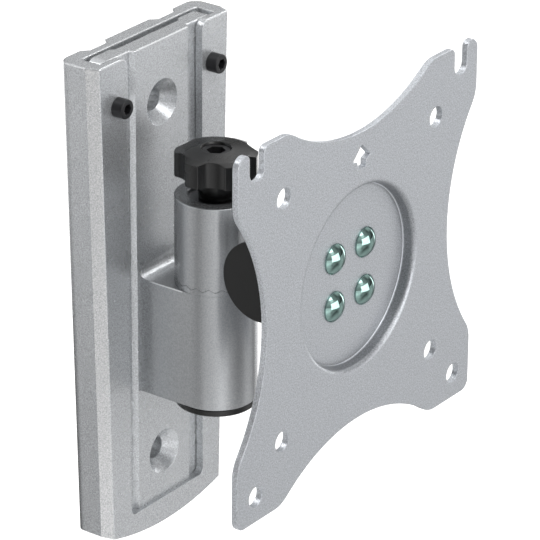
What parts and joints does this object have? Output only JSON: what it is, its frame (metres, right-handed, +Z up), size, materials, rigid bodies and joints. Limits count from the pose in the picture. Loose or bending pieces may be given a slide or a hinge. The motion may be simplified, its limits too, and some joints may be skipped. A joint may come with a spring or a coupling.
{
  "type": "tilting tv wall bracket",
  "caption": "Tilting and swivelling screen wall bracket: tapered wall rail, drop-in carrier with a clamped pivot and star knob, and a waisted plate with a pressed dish.",
  "frame": {"origin": "on the wall, midway between the two wall screws, on the rail's back face", "axes": "+Z up the wall, +X to the right when facing the wall, +Y into the wall, so the screen side faces -Y"},
  "size_m": [0.1174, 0.0844, 0.1576],
  "materials": {
    "cast_alloy": "die-cast alloy with a fine silver coating",
    "coated_plate": "pressed sheet steel with a fine silver powder coating",
    "black_screw": "black oxide steel",
    "zinc_screw": "bright zinc plated steel with a blue-green passivation",
    "steel": "zinc plated steel",
    "black_plastic": "moulded black plastic, semi-matt",
    "friction_plastic": "natural acetal friction disc"
  },
  "bodies": {
    "rail": {"wall_rail": "cast_alloy"},
    "left_clamp": {"clamp_screw_left": "black_screw"},
    "right_clamp": {"clamp_screw_right": "black_screw"},
    "arm": {"carrier": "cast_alloy", "pivot_nut": "steel", "bottom_cap": "black_plastic"},
    "tooth_ring": {"toothed_bush": "cast_alloy"},
    "head": {"swivel_head": "cast_alloy", "knob_washer": "steel"},
    "knob": {"knob_grip": "black_plastic", "pivot_bolt": "black_screw"},
    "screen_frame": {"tilt_yoke": "cast_alloy", "tilt_bolt": "steel", "tilt_nut": "steel", "tilt_spring_washer": "steel", "friction_disc_left": "friction_plastic", "friction_disc_right": "friction_plastic", "end_cap_left": "black_plastic", "end_cap_right": "black_plastic", "vesa_plate": "coated_plate", "plate_screw_1": "zinc_screw", "plate_screw_2": "zinc_screw", "plate_screw_3": "zinc_screw", "plate_screw_4": "zinc_screw"}
  },
  "joints": [
    {"name": "carrier_slide", "type": "slide", "parent": "rail", "child": "arm", "axis": [0, 0, 1], "range_m": [0, 0.15]},
    {"name": "clamp_screw_left_turn", "type": "hinge", "parent": "rail", "child": "left_clamp", "pos_m": [-0.0225, -0.0142, 0.0633], "axis": [0, -1, 0], "range_deg": [0, 720]},
    {"name": "clamp_screw_right_turn", "type": "hinge", "parent": "rail", "child": "right_clamp", "pos_m": [0.0225, -0.0142, 0.0633], "axis": [0, -1, 0], "range_deg": [0, 720]},
    {"name": "swivel", "type": "hinge", "parent": "arm", "child": "tooth_ring", "pos_m": [0, -0.03281, 0.0054], "axis": [0, 0, 1], "range_deg": [-54, 54]},
    {"name": "head_lift", "type": "slide", "parent": "tooth_ring", "child": "head", "axis": [0, 0, 1], "range_m": [0, 0.00125]},
    {"name": "knob_turn", "type": "hinge", "parent": "head", "child": "knob", "pos_m": [0, -0.03281, 0.03245], "axis": [0, 0, 1], "range_deg": [0, 450]},
    {"name": "tilt", "type": "hinge", "parent": "head", "child": "screen_frame", "pos_m": [0, -0.06335, 0.02045], "axis": [1, 0, 0], "range_deg": [-15, 15]}
  ],
  "couplings": [
    {"joint": "knob_turn", "follows": "head_lift", "rad_per_m": 6283.2}
  ]
}
